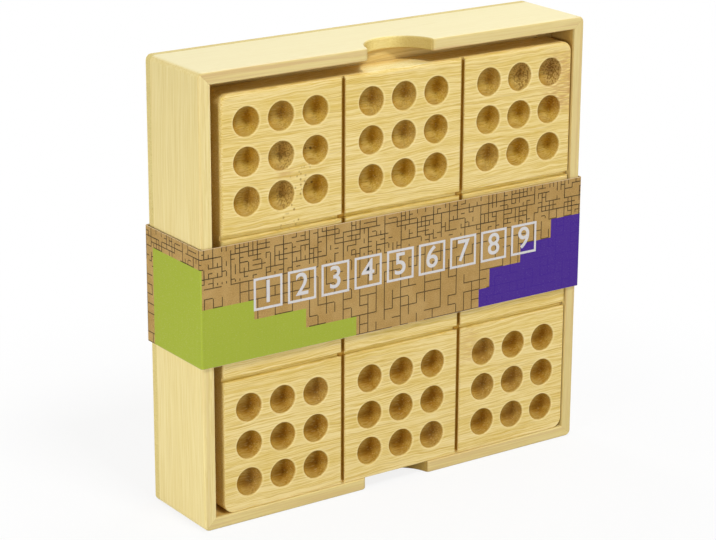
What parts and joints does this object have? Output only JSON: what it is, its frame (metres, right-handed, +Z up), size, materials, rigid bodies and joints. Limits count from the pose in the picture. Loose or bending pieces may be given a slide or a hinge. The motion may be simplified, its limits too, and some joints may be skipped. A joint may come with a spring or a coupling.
{
  "type": "sudoku board",
  "caption": "Square bamboo sudoku tray with a lift-out board of round dimples in grooved blocks, number balls stored behind it and a printed card sleeve round its middle.",
  "frame": {"origin": "on the ground below the middle of the standing tray", "axes": "+Z up, the dimples face -Y, +X to the right as seen from the front"},
  "size_m": [0.1868, 0.042, 0.185],
  "materials": {
    "wall_upright_grain": "pale natural bamboo, grain running up, satin",
    "wall_level_grain": "pale natural bamboo, grain running across, satin",
    "base_bamboo": "natural bamboo panel, satin",
    "ledge_bamboo": "natural bamboo strip, sawn",
    "board_bamboo": "natural bamboo, grain running across, satin",
    "ball_wood": "smooth turned wood",
    "kraft_card": "uncoated brown card with flat printed colours"
  },
  "bodies": {
    "tray": {"left_wall": "wall_upright_grain", "right_wall": "wall_upright_grain", "top_wall": "wall_level_grain", "bottom_wall": "wall_level_grain", "base_panel": "base_bamboo", "left_ledge": "ledge_bamboo", "right_ledge": "ledge_bamboo", "top_ledge": "ledge_bamboo", "bottom_ledge": "ledge_bamboo", "number_1_balls": "ball_wood", "number_2_balls": "ball_wood", "number_3_balls": "ball_wood", "number_4_balls": "ball_wood", "number_5_balls": "ball_wood", "number_6_balls": "ball_wood", "number_7_balls": "ball_wood", "number_8_balls": "ball_wood", "number_9_balls": "ball_wood"},
    "board": {"dimpled_board": "board_bamboo"},
    "sleeve": {"card_sleeve": "kraft_card"}
  },
  "joints": [
    {"name": "sleeve_slide", "type": "slide", "parent": "tray", "child": "sleeve", "axis": [0, 0, 1], "range_m": [-0.065, 0.12]},
    {"name": "board_lift", "type": "slide", "parent": "tray", "child": "board", "axis": [0, -1, 0], "range_m": [0, 0.0009]}
  ]
}
